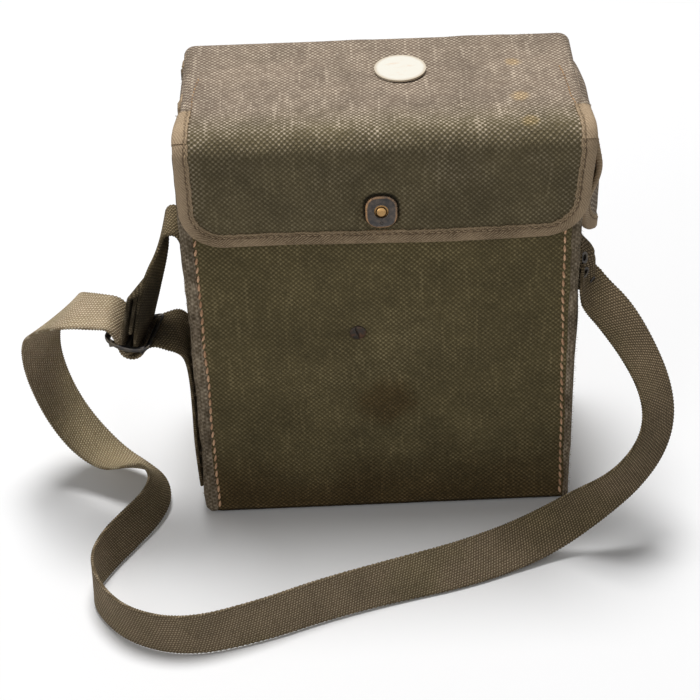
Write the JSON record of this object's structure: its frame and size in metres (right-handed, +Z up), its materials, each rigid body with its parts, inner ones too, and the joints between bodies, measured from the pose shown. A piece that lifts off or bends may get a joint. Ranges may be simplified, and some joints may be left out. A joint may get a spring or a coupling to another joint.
{
  "type": "field telephone",
  "caption": "Portable magneto field telephone in an upright canvas case with a hinged cover, side crank, bell, handset and a webbing shoulder sling.",
  "frame": {"origin": "centre of the case's bottom face, on the surface it stands on", "axes": "+Z up, -Y towards the front of the case, +X towards the side with the crank"},
  "size_m": [0.3382, 0.1991, 0.2382],
  "materials": {
    "canvas": "olive drab canvas, matt",
    "webbing": "olive webbing, matt",
    "binding": "khaki tape, matt",
    "gunmetal": "dark oxide finish",
    "brass": "worn",
    "steel": "plated, dull",
    "disc": "off-white, matt",
    "bakelite": "black, semi-gloss",
    "panel_paint": "olive crackle",
    "magnet": "dark, matt",
    "copper_winding": "taped winding",
    "cell": "paper-wrapped can, plain",
    "rubber": "matt",
    "gong": "nickel, dull"
  },
  "bodies": {
    "case": {"anchor_rivets": "gunmetal", "anchor_tab": "webbing", "battery_lower": "cell", "battery_tray": "panel_paint", "battery_upper": "cell", "capacitor": "panel_paint", "case_back": "canvas", "case_bottom": "canvas", "case_front": "canvas", "case_left": "canvas", "case_right": "canvas", "chassis_base": "panel_paint", "chassis_panel": "bakelite", "chassis_partition": "panel_paint", "cord_gland": "rubber", "front_screw": "steel", "generator_frame": "steel", "generator_magnets": "magnet", "gong_left": "gong", "gong_right": "gong", "gong_screws": "steel", "hanger_strap": "webbing", "hinge_roll": "canvas", "induction_coil": "copper_winding", "lever_bracket": "steel", "line_post_bases": "bakelite", "panel_screws": "steel", "piping_back_left": "canvas", "piping_back_right": "canvas", "piping_front_left": "canvas", "piping_front_right": "canvas", "pole_shoes": "magnet", "ringer_coil_left": "copper_winding", "ringer_coil_right": "copper_winding", "ringer_yoke": "steel", "sling_strap": "webbing", "snap_stud": "gunmetal", "strap_slide": "gunmetal"},
    "cover": {"cover_panel": "canvas", "cover_binding": "binding", "ear_left": "canvas", "ear_right": "canvas", "snap_socket": "gunmetal", "snap_core": "brass", "cover_disc": "disc"},
    "crank": {"crank_shaft": "steel", "drive_gear": "brass", "crank_arm": "steel"},
    "crank_handle": {"crank_knob": "bakelite"},
    "generator_armature": {"armature": "copper_winding", "armature_pinion": "brass"},
    "bell_clapper": {"clapper": "steel"},
    "left_line_post": {"line_plunger_left": "brass"},
    "right_line_post": {"line_plunger_right": "brass"},
    "selector": {"selector_screw": "brass"},
    "lever": {"lever_switch": "bakelite"},
    "handset": {"handset_grip": "bakelite", "receiver_cap": "bakelite", "transmitter_cap": "bakelite"},
    "press_to_talk": {"talk_switch": "bakelite"}
  },
  "joints": [
    {"name": "cover_hinge", "type": "hinge", "parent": "case", "child": "cover", "pos_m": [0, 0.0464, 0.2334], "axis": [-1, 0, 0], "range_deg": [0, 225]},
    {"name": "crank_spin", "type": "hinge", "parent": "case", "child": "crank", "pos_m": [0.038, 0.003, 0.188], "axis": [1, 0, 0], "continuous": true},
    {"name": "crank_handle_spin", "type": "hinge", "parent": "crank", "child": "crank_handle", "pos_m": [0.0957, 0.003, 0.171], "axis": [0, 0, 1], "continuous": true},
    {"name": "armature_spin", "type": "hinge", "parent": "case", "child": "generator_armature", "pos_m": [0.038, 0.003, 0.1646], "axis": [1, 0, 0], "continuous": true},
    {"name": "clapper_swing", "type": "hinge", "parent": "case", "child": "bell_clapper", "pos_m": [0.052, 0.014, 0.0545], "axis": [0, 1, 0], "range_deg": [-3.5, 3.5], "stiffness_Nm_per_rad": 0.02},
    {"name": "left_post_press", "type": "slide", "parent": "case", "child": "left_line_post", "axis": [0, 0, -1], "range_m": [0, 0.003], "stiffness_N_per_m": 900},
    {"name": "right_post_press", "type": "slide", "parent": "case", "child": "right_line_post", "axis": [0, 0, -1], "range_m": [0, 0.003], "stiffness_N_per_m": 900},
    {"name": "selector_turn", "type": "hinge", "parent": "case", "child": "selector", "pos_m": [0.068, -0.031, 0.212], "axis": [0, 0, 1], "range_deg": [0, 90]},
    {"name": "lever_throw", "type": "hinge", "parent": "case", "child": "lever", "pos_m": [-0.008, -0.02, 0.216], "axis": [1, 0, 0], "range_deg": [-15, 15]},
    {"name": "handset_lift", "type": "slide", "parent": "case", "child": "handset", "axis": [0, 0, 1], "range_m": [0, 0.006]},
    {"name": "talk_press", "type": "slide", "parent": "handset", "child": "press_to_talk", "axis": [0, 1, 0], "range_m": [0, 0.002], "stiffness_N_per_m": 1200}
  ],
  "couplings": [
    {"joint": "armature_spin", "follows": "crank_spin", "ratio": -3.3333}
  ]
}
